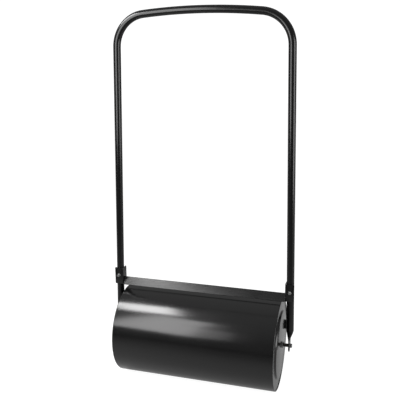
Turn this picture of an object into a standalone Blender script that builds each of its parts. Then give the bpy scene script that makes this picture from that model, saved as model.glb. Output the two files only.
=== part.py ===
"""A push lawn roller: a ballast drum that turns on a fixed axle between the legs of a bent-tube handle.

Metres. The origin lies on the ground under the middle of the axle. +X runs along the axle, +Y points
to the rear, away from the side that carries the scraper bar, and +Z points up the handle.
"""

import math

import bmesh
import bpy
from mathutils import Matrix, Vector

# Drum
DRUM_RADIUS = 0.160
DRUM_HALF = 0.285
SHEET = 0.0012
DRUM_STEPS = 64
LIP_WIDTH = 0.005
LIP_DEPTH = 0.0013
LIP_ROUND = 0.002

# End plates: a rim under the lip, a pressed step, and a raised middle
PLATE_RIM_X = 0.2834
PLATE_MIDDLE_X = 0.2892
STEP_INNER_RADIUS = 0.115
STEP_OUTER_RADIUS = 0.123
KNUCKLE = 0.006
SKIRT_END_X = 0.268

# Axle and the tube that it runs in
AXLE_HEIGHT = DRUM_RADIUS
AXLE_RADIUS = 0.006
SLEEVE_RADIUS = 0.0086
SLEEVE_BORE = 0.0064
SLEEVE_HALF = 0.2902
ROUND_STEPS = 32
RING_SIDES = 24
FASTENER_SIDES = 12

# Handle tube and its path, as heights above the axle
TUBE_RADIUS = 0.013
TUBE_WALL = 0.0015
TUBE_SIDES = 16
LEG_HALF_SPACING = 0.3187
LEG_LEAN = 0.0232
CROWN_HEIGHT = 1.128
CROWN_RADIUS = 2.03
CORNER_RADIUS = 0.107
SPLIT_HEIGHT = 0.176
SPIGOT_TOP = 0.236
SPIGOT_RADIUS = 0.0109
SPIGOT_WALL = 0.0015

# Flattened foot of each leg
FOOT_X = 0.3165
FOOT_HALF_THICKNESS = 0.002
FOOT_HALF_WIDTH = 0.021
FOOT_TOP = 0.020
SQUASH_TOP = 0.062
CAVITY_FLOOR = 0.068
FOOT_START_ANGLE = math.radians(8)
FOOT_CUT = 0.010

# Scraper bar and its brackets, as heights above the axle
BAR_BOTTOM = 0.168
BAR_WIDTH = 0.032
BAR_THICKNESS = 0.003
BAR_TILT = math.radians(40)
BRACKET_BOTTOM = 0.169
BRACKET_TOP = 0.231
BRACKET_SHEET = 0.0025
BRACKET_INNER = 0.297
BRACKET_OUTER = 0.3285
BRACKET_REAR = 0.015
BRACKET_BEND = 0.004
BRACKET_BOLT_HEIGHT = 0.2025

# Fasteners: shank radius, width across flats, head and nut heights, washer radius and thickness
M6 = {"shank": 0.003, "flats": 0.010, "head": 0.004, "nut": 0.005, "washer": 0.006, "sheet": 0.0016}
M8 = {"shank": 0.004, "flats": 0.013, "head": 0.0053, "nut": 0.0065, "washer": 0.008, "sheet": 0.0016}
HOLE_EASE = 0.0003
HEAD_CHAMFER = 0.15
HEAD_CROWN = 0.93
THREAD_PAST_NUT = 0.002
CROSS_HOLE_REACH = 0.030
TAPPED_DEPTH = 0.0155
AXLE_BOLT_LENGTH = 0.0195
THRUST_WASHER_RADIUS = 0.012
THRUST_WASHER_THICKNESS = 0.0025
THRUST_WASHER_X = 0.2906
SPLIT_PIN_X = 0.2953
SPLIT_PIN_RADIUS = 0.0015
SPLIT_PIN_EYE = 0.0035
SPLIT_PIN_TAIL = 0.0040
SPLIT_PIN_SPREAD = 0.0050
SPLIT_PIN_EYE_TURN = math.radians(300)

# Filler on the right end, placed from the axle
FILLER_Y = 0.090
FILLER_HEIGHT = 0.036
NECK_RADIUS = 0.0160
NECK_BORE = 0.0128
NECK_INNER_X = 0.2760
NECK_OUTER_X = 0.2897
SEAL_THICKNESS = 0.0010
PLUG_STEM_RADIUS = 0.0122
PLUG_STEM_X = 0.2772
PLUG_RADIUS = 0.0175
PLUG_HEAD = 0.0072
PLUG_CHAMFER = 0.0012

GAP = 0.0003
EDGE = 0.0005
MERGE = 0.0001
NAME = "lawn_roller"

BLACK_PAINT = ("black_paint", (0.010, 0.010, 0.011, 1.0), 0.32, 0.0)
ZINC = ("zinc_plate", (0.48, 0.49, 0.50, 1.0), 0.38, 1.0)
PLAIN_STEEL = ("axle_steel", (0.33, 0.33, 0.33, 1.0), 0.42, 1.0)
RUBBER = ("black_rubber", (0.015, 0.015, 0.015, 1.0), 0.80, 0.0)
PLASTIC = ("black_plastic", (0.012, 0.012, 0.012, 1.0), 0.50, 0.0)

ALONG_X = Matrix.Rotation(math.pi / 2, 4, "Y")
ALONG_Y = Matrix.Rotation(-math.pi / 2, 4, "X")


# ---------------------------------------------------------------- scene helpers


def clear_scene():
    for old in list(bpy.data.objects):
        bpy.data.objects.remove(old, do_unlink=True)


def new_collection(name):
    group = bpy.data.collections.new(name)
    bpy.context.scene.collection.children.link(group)
    return group


def material(spec):
    name, colour, roughness, metallic = spec
    found = bpy.data.materials.get(name)
    if found:
        return found
    made = bpy.data.materials.new(name)
    made.use_nodes = True
    shader = made.node_tree.nodes["Principled BSDF"]
    shader.inputs["Base Color"].default_value = colour
    shader.inputs["Roughness"].default_value = roughness
    shader.inputs["Metallic"].default_value = metallic
    return made


def place(name, data, finish, parent, matrix=None):
    """Puts mesh or curve data in the parts collection, in its parent's space."""
    item = bpy.data.objects.new(name, data)
    PARTS.objects.link(item)
    item.parent = parent
    if matrix is not None:
        item.matrix_local = matrix
    if finish is not None:
        data.materials.append(material(finish))
    return item


def empty(name, location, parent=None):
    made = bpy.data.objects.new(name, None)
    PARTS.objects.link(made)
    made.parent = parent
    made.location = location
    return made


def smooth(data, angle=math.radians(35)):
    data.shade_smooth()
    data.set_sharp_from_angle(angle=angle)


def solid_mesh(blank):
    """The evaluated mesh of a construction object, which is then removed."""
    shape = blank.evaluated_get(bpy.context.evaluated_depsgraph_get())
    data = bpy.data.meshes.new_from_object(shape)
    bpy.data.objects.remove(blank)
    return data


def side_name(stem, side):
    return f"{stem}_{'left' if side < 0 else 'right'}"


# ---------------------------------------------------------------- shape helpers


def skin(rings, closed=False):
    """A mesh through rings of equally many points. The rings end in caps, or close into a loop."""
    mesh = bmesh.new()
    rows = [[mesh.verts.new(point) for point in ring] for ring in rings]
    pairs = list(zip(rows, rows[1:]))
    if closed:
        pairs.append((rows[-1], rows[0]))
    for low, high in pairs:
        for i in range(len(low)):
            j = (i + 1) % len(low)
            mesh.faces.new((low[i], low[j], high[j], high[i]))
    if not closed:
        mesh.faces.new(list(reversed(rows[0])))
        mesh.faces.new(rows[-1])
    bmesh.ops.recalc_face_normals(mesh, faces=mesh.faces)
    data = bpy.data.meshes.new("skin")
    mesh.to_mesh(data)
    mesh.free()
    smooth(data)
    return data


def round_ring(radius, height, count=RING_SIDES):
    """Points on a circle, turned by half a step so that a flat side faces each axis."""
    angles = [(k + 0.5) * 2 * math.pi / count for k in range(count)]
    return [Vector((radius * math.cos(a), radius * math.sin(a), height)) for a in angles]


def hex_ring(flats, height, count=RING_SIDES):
    """Points on a hexagon: its corners and the points that divide its sides evenly."""
    corners = [k * math.pi / 3 for k in range(7)]
    reach = flats / 2 / math.cos(math.pi / 6)
    tips = [Vector((reach * math.cos(a), reach * math.sin(a), height)) for a in corners]
    each = count // 6
    return [tips[k].lerp(tips[k + 1], i / each) for k in range(6) for i in range(each)]


def turned(name, profile, finish, parent, matrix, steps=ROUND_STEPS, closed=True, phase=0.0):
    """A solid of revolution about its own Z, from a profile of radius and height pairs."""
    area = sum(a[0] * b[1] - b[0] * a[1] for a, b in zip(profile, profile[1:] + profile[:1]))
    points = list(reversed(profile)) if area > 0 else list(profile)
    line = bpy.data.meshes.new(name)
    edges = [(i, i + 1) for i in range(len(points) - 1)]
    if closed:
        edges.append((len(points) - 1, 0))
    line.from_pydata([(radius, 0.0, height) for radius, height in points], edges, [])
    blank = bpy.data.objects.new(name + "_blank", line)
    CUTTERS.objects.link(blank)
    screw = blank.modifiers.new("turn", "SCREW")
    screw.axis = "Z"
    screw.angle = 2 * math.pi
    screw.steps = screw.render_steps = steps
    screw.use_merge_vertices = True
    screw.merge_threshold = MERGE
    data = solid_mesh(blank)
    smooth(data)
    return place(name, data, finish, parent, matrix @ Matrix.Rotation(phase, 4, "Z"))


def cylinder_cutter(name, radius, start, end, count=FASTENER_SIDES):
    """A round cutter between two points."""
    start, end = Vector(start), Vector(end)
    data = bpy.data.meshes.new(name)
    mesh = bmesh.new()
    bmesh.ops.create_cone(
        mesh, cap_ends=True, segments=count, radius1=radius, radius2=radius, depth=(end - start).length
    )
    mesh.to_mesh(data)
    mesh.free()
    cutter = bpy.data.objects.new(name, data)
    CUTTERS.objects.link(cutter)
    cutter.matrix_world = (
        Matrix.Translation((start + end) / 2) @ (end - start).to_track_quat("Z", "Y").to_matrix().to_4x4()
    )
    cutter.hide_render = True
    cutter.display_type = "WIRE"
    return cutter


def cut(item, cutter):
    step = item.modifiers.new(cutter.name, "BOOLEAN")
    step.operation = "DIFFERENCE"
    step.solver = "EXACT"
    step.object = cutter


def box(name, low, high, finish, parent, matrix):
    """A block between two corners, with its edges taken off, placed by a matrix in its parent's space."""
    low, high = Vector(low), Vector(high)
    mesh = bmesh.new()
    bmesh.ops.create_cube(mesh, size=1.0)
    bmesh.ops.scale(mesh, vec=high - low, verts=mesh.verts)
    data = bpy.data.meshes.new(name)
    mesh.to_mesh(data)
    mesh.free()
    item = place(name, data, finish, parent, matrix @ Matrix.Translation((low + high) / 2))
    step = item.modifiers.new("edges", "BEVEL")
    step.width = EDGE
    step.segments = 1
    return item


def mirror_x(points):
    return [Vector((-p.x, p.y, p.z)) for p in points]


# ---------------------------------------------------------------- handle and legs


def leg_x(height):
    """Distance of a leg's centre line from the middle, at a height above the axle."""
    return LEG_HALF_SPACING - LEG_LEAN * height


def corner_centre():
    """Centre of the bend that touches both the leg's line and the crown's arc."""
    crown_low = CROWN_HEIGHT - CROWN_RADIUS
    reach = CROWN_RADIUS - CORNER_RADIUS
    inset = LEG_HALF_SPACING - CORNER_RADIUS * math.hypot(1.0, LEG_LEAN)
    square = 1 + LEG_LEAN**2
    half = inset * LEG_LEAN + crown_low
    height = (half + math.sqrt(half**2 - square * (inset**2 + crown_low**2 - reach**2))) / square
    return Vector((inset - LEG_LEAN * height, 0.0, height))


def handle_path(bend_points=9, crown_points=5):
    """Points along the handle's centre line, from the left leg's end over the crown to the right."""
    centre = corner_centre()
    crown = Vector((0.0, 0.0, CROWN_HEIGHT - CROWN_RADIUS))
    start = math.atan(LEG_LEAN)
    meet = math.atan2(centre.z - crown.z, centre.x)
    low = SPLIT_HEIGHT + GAP + TUBE_RADIUS * LEG_LEAN
    right = [Vector((leg_x(low), 0.0, low))]
    for i in range(bend_points):
        angle = start + (meet - start) * i / (bend_points - 1)
        offset = Vector((math.cos(angle), 0.0, math.sin(angle)))
        right.append(centre + CORNER_RADIUS * offset)
    for i in range(1, crown_points):
        angle = meet + (math.pi / 2 - meet) * i / crown_points
        right.append(crown + CROWN_RADIUS * Vector((math.cos(angle), 0.0, math.sin(angle))))
    top = Vector((0.0, 0.0, CROWN_HEIGHT))
    return mirror_x(right) + [top] + list(reversed(right))


def poly_curve(name, points, radius, sides, capped):
    data = bpy.data.curves.new(name, "CURVE")
    data.dimensions = "3D"
    data.bevel_depth = radius
    data.bevel_resolution = sides // 2 - 2
    data.use_fill_caps = capped
    line = data.splines.new("POLY")
    line.points.add(len(points) - 1)
    for spot, point in zip(line.points, points):
        spot.co = (*point, 1.0)
    return data


def make_handle(frame):
    """The bent U tube, open at both ends."""
    line = poly_curve("handle_path", handle_path(), TUBE_RADIUS, TUBE_SIDES, False)
    curve = bpy.data.objects.new("handle_path", line)
    CUTTERS.objects.link(curve)
    data = solid_mesh(curve)
    smooth(data)
    handle = place("handle_upper", data, BLACK_PAINT, frame)
    wall = handle.modifiers.new("wall", "SOLIDIFY")
    wall.thickness = TUBE_WALL
    wall.offset = -1.0
    wall.use_even_offset = True
    for side in (-1, 1):
        cut(handle, bolt_cutter(side, "handle"))
    return handle


def bolt_cutter(side, owner):
    """The cross hole for one bracket bolt."""
    x = side * leg_x(BRACKET_BOLT_HEIGHT)
    z = AXLE_HEIGHT + BRACKET_BOLT_HEIGHT
    name = side_name(f"cut_{owner}_bolt", side)
    start, end = (x, -CROSS_HOLE_REACH, z), (x, CROSS_HOLE_REACH, z)
    return cylinder_cutter(name, M6["shank"] + HOLE_EASE, start, end)


def oval_ring(half_thickness, half_width, x, height, count=RING_SIDES):
    """A section with straight flanks and round ends, thin along X and wide along Y."""
    ring = []
    for k in range(count):
        angle = (k + 0.5) * 2 * math.pi / count
        push = math.copysign(half_width - half_thickness, math.sin(angle))
        y = push + half_thickness * math.sin(angle)
        ring.append(Vector((x + half_thickness * math.cos(angle), y, height)))
    return ring


def foot_rings(steps=6):
    """The rounded bottom of the flattened foot, then its straight part."""
    rings = []
    for i in range(steps):
        angle = FOOT_START_ANGLE + (math.pi / 2 - FOOT_START_ANGLE) * i / (steps - 1)
        width = max(FOOT_HALF_WIDTH * math.sin(angle), FOOT_HALF_THICKNESS)
        rings.append(oval_ring(FOOT_HALF_THICKNESS, width, FOOT_X, -FOOT_HALF_WIDTH * math.cos(angle)))
    rings.append(oval_ring(FOOT_HALF_THICKNESS, FOOT_HALF_WIDTH, FOOT_X, FOOT_TOP))
    return rings


def squash_rings(steps=6):
    """The change from the flattened foot to the round tube."""
    rings = []
    for i in range(1, steps + 1):
        part = i / steps
        ease = part * part * (3 - 2 * part)
        thick = FOOT_HALF_THICKNESS + (TUBE_RADIUS - FOOT_HALF_THICKNESS) * ease
        wide = FOOT_HALF_WIDTH + (TUBE_RADIUS - FOOT_HALF_WIDTH) * ease
        height = FOOT_TOP + (SQUASH_TOP - FOOT_TOP) * part
        x = FOOT_X + (leg_x(SQUASH_TOP) - FOOT_X) * ease
        rings.append(oval_ring(thick, wide, x, height))
    return rings


def tube_ring(radius, height):
    return [point + Vector((leg_x(height), 0.0, 0.0)) for point in round_ring(radius, height)]


def make_leg(frame, side):
    """A lower leg: flattened foot, round tube, and a reduced spigot that the handle slides over."""
    bore = TUBE_RADIUS - TUBE_WALL
    spigot_bore = SPIGOT_RADIUS - SPIGOT_WALL
    rings = foot_rings() + squash_rings()
    rings += [
        tube_ring(TUBE_RADIUS, SPLIT_HEIGHT),
        tube_ring(SPIGOT_RADIUS, SPLIT_HEIGHT),
        tube_ring(SPIGOT_RADIUS, SPIGOT_TOP),
        tube_ring(spigot_bore, SPIGOT_TOP),
        tube_ring(spigot_bore, SPLIT_HEIGHT - TUBE_WALL),
        tube_ring(bore, SPLIT_HEIGHT - 2 * TUBE_WALL),
        tube_ring(bore, CAVITY_FLOOR),
    ]
    if side < 0:
        rings = [mirror_x(ring) for ring in rings]
    leg = place(side_name("leg", side), skin(rings), BLACK_PAINT, frame)
    cut(leg, bolt_cutter(side, "leg"))
    foot = cylinder_cutter(
        side_name("cut_foot", side),
        M8["shank"] + HOLE_EASE,
        (side * (FOOT_X - FOOT_CUT), 0.0, AXLE_HEIGHT),
        (side * (FOOT_X + FOOT_CUT), 0.0, AXLE_HEIGHT),
    )
    cut(leg, foot)
    return leg


# ---------------------------------------------------------------- scraper bar and brackets


def bracket_front():
    """The front face of the brackets and the bar, just ahead of the tube."""
    return -(TUBE_RADIUS + GAP + BRACKET_SHEET)


def bracket_outline():
    """An L in plan: a front plate, a bend, and a flange beside the tube."""
    front = bracket_front()
    inner = BRACKET_INNER
    centre = Vector((inner + BRACKET_BEND, front + BRACKET_BEND))
    outside, inside = [], []
    for i in range(5):
        angle = math.pi + math.pi / 2 * i / 4
        direction = Vector((math.cos(angle), math.sin(angle)))
        outside.append(centre + BRACKET_BEND * direction)
        inside.append(centre + (BRACKET_BEND - BRACKET_SHEET) * direction)
    points = [Vector((inner, BRACKET_REAR))] + outside
    points += [Vector((BRACKET_OUTER, front)), Vector((BRACKET_OUTER, front + BRACKET_SHEET))]
    points += list(reversed(inside)) + [Vector((inner + BRACKET_SHEET, BRACKET_REAR))]
    return points


def make_bracket(frame, side):
    rings = [
        [Vector((side * p.x, p.y, height)) for p in bracket_outline()]
        for height in (BRACKET_BOTTOM, BRACKET_TOP)
    ]
    bracket = place(side_name("bracket", side), skin(rings), BLACK_PAINT, frame)
    cut(bracket, bolt_cutter(side, "bracket"))
    return bracket


def make_scraper_bar(frame):
    """The flat bar that ties the legs together. It leans back, so its lower edge keeps the drum clean."""
    reach = BRACKET_INNER - GAP
    edge = Matrix.Translation((0.0, bracket_front(), BAR_BOTTOM)) @ Matrix.Rotation(-BAR_TILT, 4, "X")
    low, high = (-reach, 0.0, 0.0), (reach, BAR_THICKNESS, BAR_WIDTH)
    return box("scraper_bar", low, high, BLACK_PAINT, frame, edge)


# ---------------------------------------------------------------- fasteners


def round_step(radius, height):
    return round_ring(radius, height, FASTENER_SIDES)


def hex_step(flats, height):
    return hex_ring(flats, height, FASTENER_SIDES)


def bolt_mesh(size, length):
    """A hexagon head above its seat at height zero, with the shank below."""
    chamfer = size["head"] * HEAD_CHAMFER
    return skin(
        [
            round_step(size["shank"] - chamfer, -length),
            round_step(size["shank"], -length + chamfer),
            round_step(size["shank"], 0.0),
            hex_step(size["flats"], 0.0),
            hex_step(size["flats"], size["head"] - chamfer),
            round_step(size["flats"] / 2 * HEAD_CROWN, size["head"]),
        ]
    )


def nut_mesh(size):
    bore = size["shank"] + HOLE_EASE
    rings = [hex_step(size["flats"], 0.0), hex_step(size["flats"], size["nut"])]
    rings += [round_step(bore, size["nut"]), round_step(bore, 0.0)]
    return skin(rings, closed=True)


def washer_mesh(radius, bore, thickness):
    rings = [round_step(radius, 0.0), round_step(radius, thickness)]
    rings += [round_step(bore, thickness), round_step(bore, 0.0)]
    return skin(rings, closed=True)


def facing(direction, location):
    """A matrix that turns local +Z to a direction and puts the origin at a place."""
    turn = Vector(direction).to_track_quat("Z", "Y").to_matrix().to_4x4()
    return Matrix.Translation(location) @ turn


def make_bracket_fasteners(frame, side):
    """The bolt through a bracket, a handle leg and its spigot, with its washers and nut."""
    x, z = side * leg_x(BRACKET_BOLT_HEIGHT), BRACKET_BOLT_HEIGHT
    bore = M6["shank"] + HOLE_EASE
    front_seat = bracket_front() - GAP
    rear_seat = TUBE_RADIUS + GAP
    head_seat = front_seat - M6["sheet"] - GAP
    nut_seat = rear_seat + M6["sheet"] + GAP
    length = nut_seat + M6["nut"] + THREAD_PAST_NUT - head_seat
    pieces = [
        ("bracket_front_washer", washer_mesh(M6["washer"], bore, M6["sheet"]), -1, front_seat),
        ("bracket_rear_washer", washer_mesh(M6["washer"], bore, M6["sheet"]), 1, rear_seat),
        ("bracket_nut", nut_mesh(M6), 1, nut_seat),
        ("bracket_bolt", bolt_mesh(M6, length), -1, head_seat),
    ]
    for stem, data, way, y in pieces:
        place(side_name(stem, side), data, ZINC, frame, facing((0, way, 0), (x, y, z)))


def make_axle_fasteners(frame, side):
    """The screw and washer that clamp a foot to the axle's end, and the thrust washer inside."""
    outward = (side, 0, 0)
    seat = FOOT_X + FOOT_HALF_THICKNESS + GAP
    washer = washer_mesh(M8["washer"], M8["shank"] + HOLE_EASE, M8["sheet"])
    place(side_name("axle_end_washer", side), washer, ZINC, frame, facing(outward, (side * seat, 0, 0)))
    head_seat = seat + M8["sheet"] + GAP
    bolt = bolt_mesh(M8, AXLE_BOLT_LENGTH)
    place(side_name("axle_bolt", side), bolt, ZINC, frame, facing(outward, (side * head_seat, 0, 0)))
    thrust = washer_mesh(THRUST_WASHER_RADIUS, AXLE_RADIUS + HOLE_EASE, THRUST_WASHER_THICKNESS)
    at = facing(outward, (side * THRUST_WASHER_X, 0, 0))
    place(side_name("thrust_washer", side), thrust, ZINC, frame, at)


def split_pin_points(steps=12):
    """One wire: a bent tail, a straight run through the axle, and a turn round the eye."""
    bend = -(AXLE_RADIUS + SPLIT_PIN_TAIL)
    points = [
        Vector((0.0, SPLIT_PIN_SPREAD, bend - SPLIT_PIN_RADIUS)),
        Vector((0.0, SPLIT_PIN_RADIUS, bend)),
        Vector((0.0, 0.0, bend + SPLIT_PIN_RADIUS)),
    ]
    eye = Vector((0.0, 0.0, AXLE_RADIUS + SPLIT_PIN_EYE + 2 * SPLIT_PIN_RADIUS))
    for i in range(steps):
        angle = -math.pi / 2 + SPLIT_PIN_EYE_TURN * i / (steps - 1)
        points.append(eye + SPLIT_PIN_EYE * Vector((0.0, math.cos(angle), math.sin(angle))))
    return points


def make_split_pin(frame, side):
    curve = poly_curve("split_pin", split_pin_points(), SPLIT_PIN_RADIUS, 8, True)
    at = Matrix.Translation((side * SPLIT_PIN_X, 0.0, 0.0)) @ ALONG_Y
    place(side_name("split_pin", side), curve, ZINC, frame, at)


# ---------------------------------------------------------------- axle and drum


def make_axle(frame):
    """A plain round bar, drilled and tapped at both ends, with a cross hole for each split pin."""
    end = FOOT_X - FOOT_HALF_THICKNESS - GAP
    bore, floor = M8["shank"] + HOLE_EASE, end - TAPPED_DEPTH
    profile = [(0.0, floor), (bore, floor), (bore, end), (AXLE_RADIUS, end)]
    profile += [(radius, -height) for radius, height in reversed(profile)]
    axle = turned("axle_rod", profile, PLAIN_STEEL, frame, ALONG_X, closed=False)
    for side in (-1, 1):
        start = (side * SPLIT_PIN_X, -2 * AXLE_RADIUS, AXLE_HEIGHT)
        stop = (side * SPLIT_PIN_X, 2 * AXLE_RADIUS, AXLE_HEIGHT)
        name = side_name("cut_pin_hole", side)
        cut(axle, cylinder_cutter(name, SPLIT_PIN_RADIUS + HOLE_EASE, start, stop))
    return axle


def make_drum_shell(drum):
    """The rolled sheet, whose edges are folded in as a hem over the end plates."""
    radius = DRUM_RADIUS / math.cos(math.pi / DRUM_STEPS)
    inner = radius - SHEET
    face, back = DRUM_HALF, DRUM_HALF - LIP_DEPTH
    corner = 1 - math.sqrt(0.5)
    half = [
        (inner, back),
        (radius - LIP_WIDTH, back),
        (radius - LIP_WIDTH, face),
        (radius - LIP_ROUND, face),
        (radius - LIP_ROUND * corner, face - LIP_ROUND * corner),
        (radius, face - LIP_ROUND),
    ]
    profile = half + [(r, -height) for r, height in reversed(half)]
    return turned("drum_shell", profile, BLACK_PAINT, drum, ALONG_X, DRUM_STEPS, phase=math.pi / DRUM_STEPS)


def sheet_profile(line, thickness):
    """A closed profile: a line of radius and height pairs, and its copy one sheet further in."""
    inside = []
    for i, (radius, height) in enumerate(line):
        before, after = line[max(i - 1, 0)], line[min(i + 1, len(line) - 1)]
        along = Vector((after[0] - before[0], after[1] - before[1])).normalized()
        inside.append((radius + along.y * thickness, height - along.x * thickness))
    return line + list(reversed(inside))


def plate_line(steps=4):
    """The outer face of an end plate, from its hub to the end of its skirt."""
    skirt = DRUM_RADIUS / math.cos(math.pi / DRUM_STEPS) - SHEET - GAP
    line = [(SLEEVE_RADIUS + GAP, PLATE_MIDDLE_X)]
    for i in range(steps + 1):
        part = i / steps
        radius = STEP_INNER_RADIUS + (STEP_OUTER_RADIUS - STEP_INNER_RADIUS) * part
        fall = (1 - math.cos(math.pi * part)) / 2
        line.append((radius, PLATE_MIDDLE_X - (PLATE_MIDDLE_X - PLATE_RIM_X) * fall))
    for i in range(steps):
        angle = math.pi / 2 * i / (steps - 1)
        radius = skirt - KNUCKLE + KNUCKLE * math.sin(angle)
        line.append((radius, PLATE_RIM_X - KNUCKLE + KNUCKLE * math.cos(angle)))
    line.append((skirt, SKIRT_END_X))
    return line


def make_drum_end(drum, side):
    """A pressed plate that sits under the shell's lip, with a skirt that lies inside the shell."""
    profile = [(radius, side * height) for radius, height in sheet_profile(plate_line(), SHEET)]
    name = side_name("drum_end", side)
    end = turned(name, profile, BLACK_PAINT, drum, ALONG_X, DRUM_STEPS, phase=math.pi / DRUM_STEPS)
    if side > 0:
        cut(end, filler_cutter())
    return end


def filler_cutter():
    """The hole in the right end plate for the filler neck."""
    y, z = FILLER_Y, AXLE_HEIGHT + FILLER_HEIGHT
    return cylinder_cutter("cut_filler", NECK_RADIUS + GAP, (NECK_INNER_X, y, z), (NECK_OUTER_X, y, z), 32)


def make_centre_tube(drum):
    """The tube from end to end that seals the ballast space and runs on the axle."""
    half = [(SLEEVE_BORE, SLEEVE_HALF), (SLEEVE_RADIUS, SLEEVE_HALF)]
    profile = half + [(radius, -height) for radius, height in reversed(half)]
    turned("centre_tube", profile, BLACK_PAINT, drum, ALONG_X, phase=math.pi / DRUM_STEPS)


def make_filler(drum, seal_slide, plug_turn):
    """The neck in the end plate, the flat seal on it, and the screw plug."""
    neck = [(NECK_BORE, NECK_INNER_X), (NECK_RADIUS, NECK_INNER_X)]
    neck += [(NECK_RADIUS, NECK_OUTER_X), (NECK_BORE, NECK_OUTER_X)]
    at = Matrix.Translation((0.0, FILLER_Y, FILLER_HEIGHT)) @ ALONG_X
    turned("filler_neck", neck, BLACK_PAINT, drum, at)

    seal_low = NECK_OUTER_X + GAP
    seal_high = seal_low + SEAL_THICKNESS
    seal = [(NECK_BORE, seal_low), (NECK_RADIUS, seal_low)]
    seal += [(NECK_RADIUS, seal_high), (NECK_BORE, seal_high)]
    turned("filler_seal", seal, RUBBER, seal_slide, ALONG_X)

    seat = seal_high + GAP
    top = seat + PLUG_HEAD
    plug = [
        (0.0, PLUG_STEM_X),
        (PLUG_STEM_RADIUS, PLUG_STEM_X),
        (PLUG_STEM_RADIUS, seat),
        (PLUG_RADIUS, seat),
        (PLUG_RADIUS, top - PLUG_CHAMFER),
        (PLUG_RADIUS - PLUG_CHAMFER, top),
        (0.0, top),
    ]
    turned("filler_plug", plug, PLASTIC, plug_turn, ALONG_X, closed=False)


# ---------------------------------------------------------------- assembly


def main():
    frame = empty("handle_frame", (0.0, 0.0, AXLE_HEIGHT))
    make_handle(frame)
    make_scraper_bar(frame)
    make_axle(frame)
    for side in (-1, 1):
        make_leg(frame, side)
        make_bracket(frame, side)
        make_bracket_fasteners(frame, side)
        make_axle_fasteners(frame, side)
        make_split_pin(frame, side)

    drum = empty("drum_axis", (0.0, 0.0, AXLE_HEIGHT))
    make_drum_shell(drum)
    make_centre_tube(drum)
    for side in (-1, 1):
        make_drum_end(drum, side)
    seal_slide = empty("filler_slide", (0.0, FILLER_Y, FILLER_HEIGHT), drum)
    plug_turn = empty("filler_turn", (0.0, 0.0, 0.0), seal_slide)
    make_filler(drum, seal_slide, plug_turn)


clear_scene()
PARTS = new_collection(NAME)
CUTTERS = new_collection("cutters")
main()
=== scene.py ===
import math

import bmesh
import bpy
from mathutils import Matrix, Vector


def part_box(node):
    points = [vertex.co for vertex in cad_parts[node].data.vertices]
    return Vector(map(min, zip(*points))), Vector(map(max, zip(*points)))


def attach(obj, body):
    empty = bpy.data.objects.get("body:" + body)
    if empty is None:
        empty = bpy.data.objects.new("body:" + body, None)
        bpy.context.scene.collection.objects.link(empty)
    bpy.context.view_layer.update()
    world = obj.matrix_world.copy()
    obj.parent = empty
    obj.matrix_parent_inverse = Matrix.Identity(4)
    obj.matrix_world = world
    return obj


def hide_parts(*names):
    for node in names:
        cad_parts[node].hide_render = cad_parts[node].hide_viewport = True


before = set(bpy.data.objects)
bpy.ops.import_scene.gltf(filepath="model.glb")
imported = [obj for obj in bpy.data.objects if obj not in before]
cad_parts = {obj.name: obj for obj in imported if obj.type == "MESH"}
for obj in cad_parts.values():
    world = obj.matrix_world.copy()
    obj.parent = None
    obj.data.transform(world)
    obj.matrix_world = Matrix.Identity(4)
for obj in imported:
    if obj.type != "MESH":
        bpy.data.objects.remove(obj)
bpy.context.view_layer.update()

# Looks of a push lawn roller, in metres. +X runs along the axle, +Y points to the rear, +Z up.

# ---------------------------------------------------------------- sizes from the frame

SIDES = {"left": -1, "right": 1}
DRUM_LOW, DRUM_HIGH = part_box("drum_shell")
DRUM_HALF = DRUM_HIGH.x
DRUM_RADIUS = DRUM_HIGH.y
AXLE_HEIGHT = (DRUM_LOW.z + DRUM_HIGH.z) / 2
AXLE = Vector((0.0, 0.0, AXLE_HEIGHT))

HANDLE_LOW, HANDLE_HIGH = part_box("handle_upper")
INSIDE_BOX = 0.0001
TUBE_RADIUS = HANDLE_HIGH.y - INSIDE_BOX
CROWN_HEIGHT = HANDLE_HIGH.z - TUBE_RADIUS - AXLE_HEIGHT
SPLIT_HEIGHT = HANDLE_LOW.z - AXLE_HEIGHT

# ---------------------------------------------------------------- sizes that the boxes don't give

TUBE_WALL = 0.0015
LEG_HALF_SPACING = 0.3187
LEG_LEAN = 0.0232
CROWN_RADIUS = 2.03
CORNER_RADIUS = 0.107
SPIGOT_RADIUS = 0.0109
SPIGOT_RISE = 0.060
SPIGOT_WALL = 0.0015

FOOT_X = 0.3165
FOOT_HALF_THICKNESS = 0.0020
FOOT_HALF_WIDTH = 0.0210
FOOT_TOP = 0.020
SQUASH_TOP = 0.062
CAVITY_FLOOR = 0.068

SHEET = 0.0012
LIP_WIDTH = 0.0048
LIP_DEPTH = 0.0013
PLATE_RIM_X = 0.2834
PLATE_MIDDLE_X = 0.2892
STEP_INNER = 0.1150
STEP_OUTER = 0.1230
KNUCKLE = 0.006
SKIRT_END_X = 0.268

BAR_WIDTH = 0.032
BAR_THICKNESS = 0.003
BAR_TILT = math.radians(40)
BAR_BOTTOM = 0.168
BRACKET_SHEET = 0.0025
BRACKET_BEND = 0.004
BRACKET_ROUND = 0.003
BRACKET_BOLT_HEIGHT = 0.2025

BAR_EDGE = 0.0009

CENTRE_TUBE_BORE = 0.0064
NECK_BORE = 0.0128
PLUG_STEM = 0.0122
PLUG_PITCH = 0.0040
PLUG_THREAD_DEPTH = 0.0011
PLUG_RIBS = 32
FINGER_BAR_HALF = 0.0019
FINGER_BAR_TURN = math.radians(25)

# Each screw: (shank radius, clearance hole radius, width across flats, thread pitch).
M6 = (0.0030, 0.0033, 0.010, 0.00100)
M8 = (0.0040, 0.0043, 0.013, 0.00125)
THREAD_DEPTH = 0.4
BRACKET_THREAD = 0.012
AXLE_PLAIN = 0.0025
AXLE_BOLT_TURN = math.radians(20)
AXLE_CLEARANCE = 0.0063
TAPPED_DEPTH = 0.0155
PIN_HOLE = 0.0018

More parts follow.
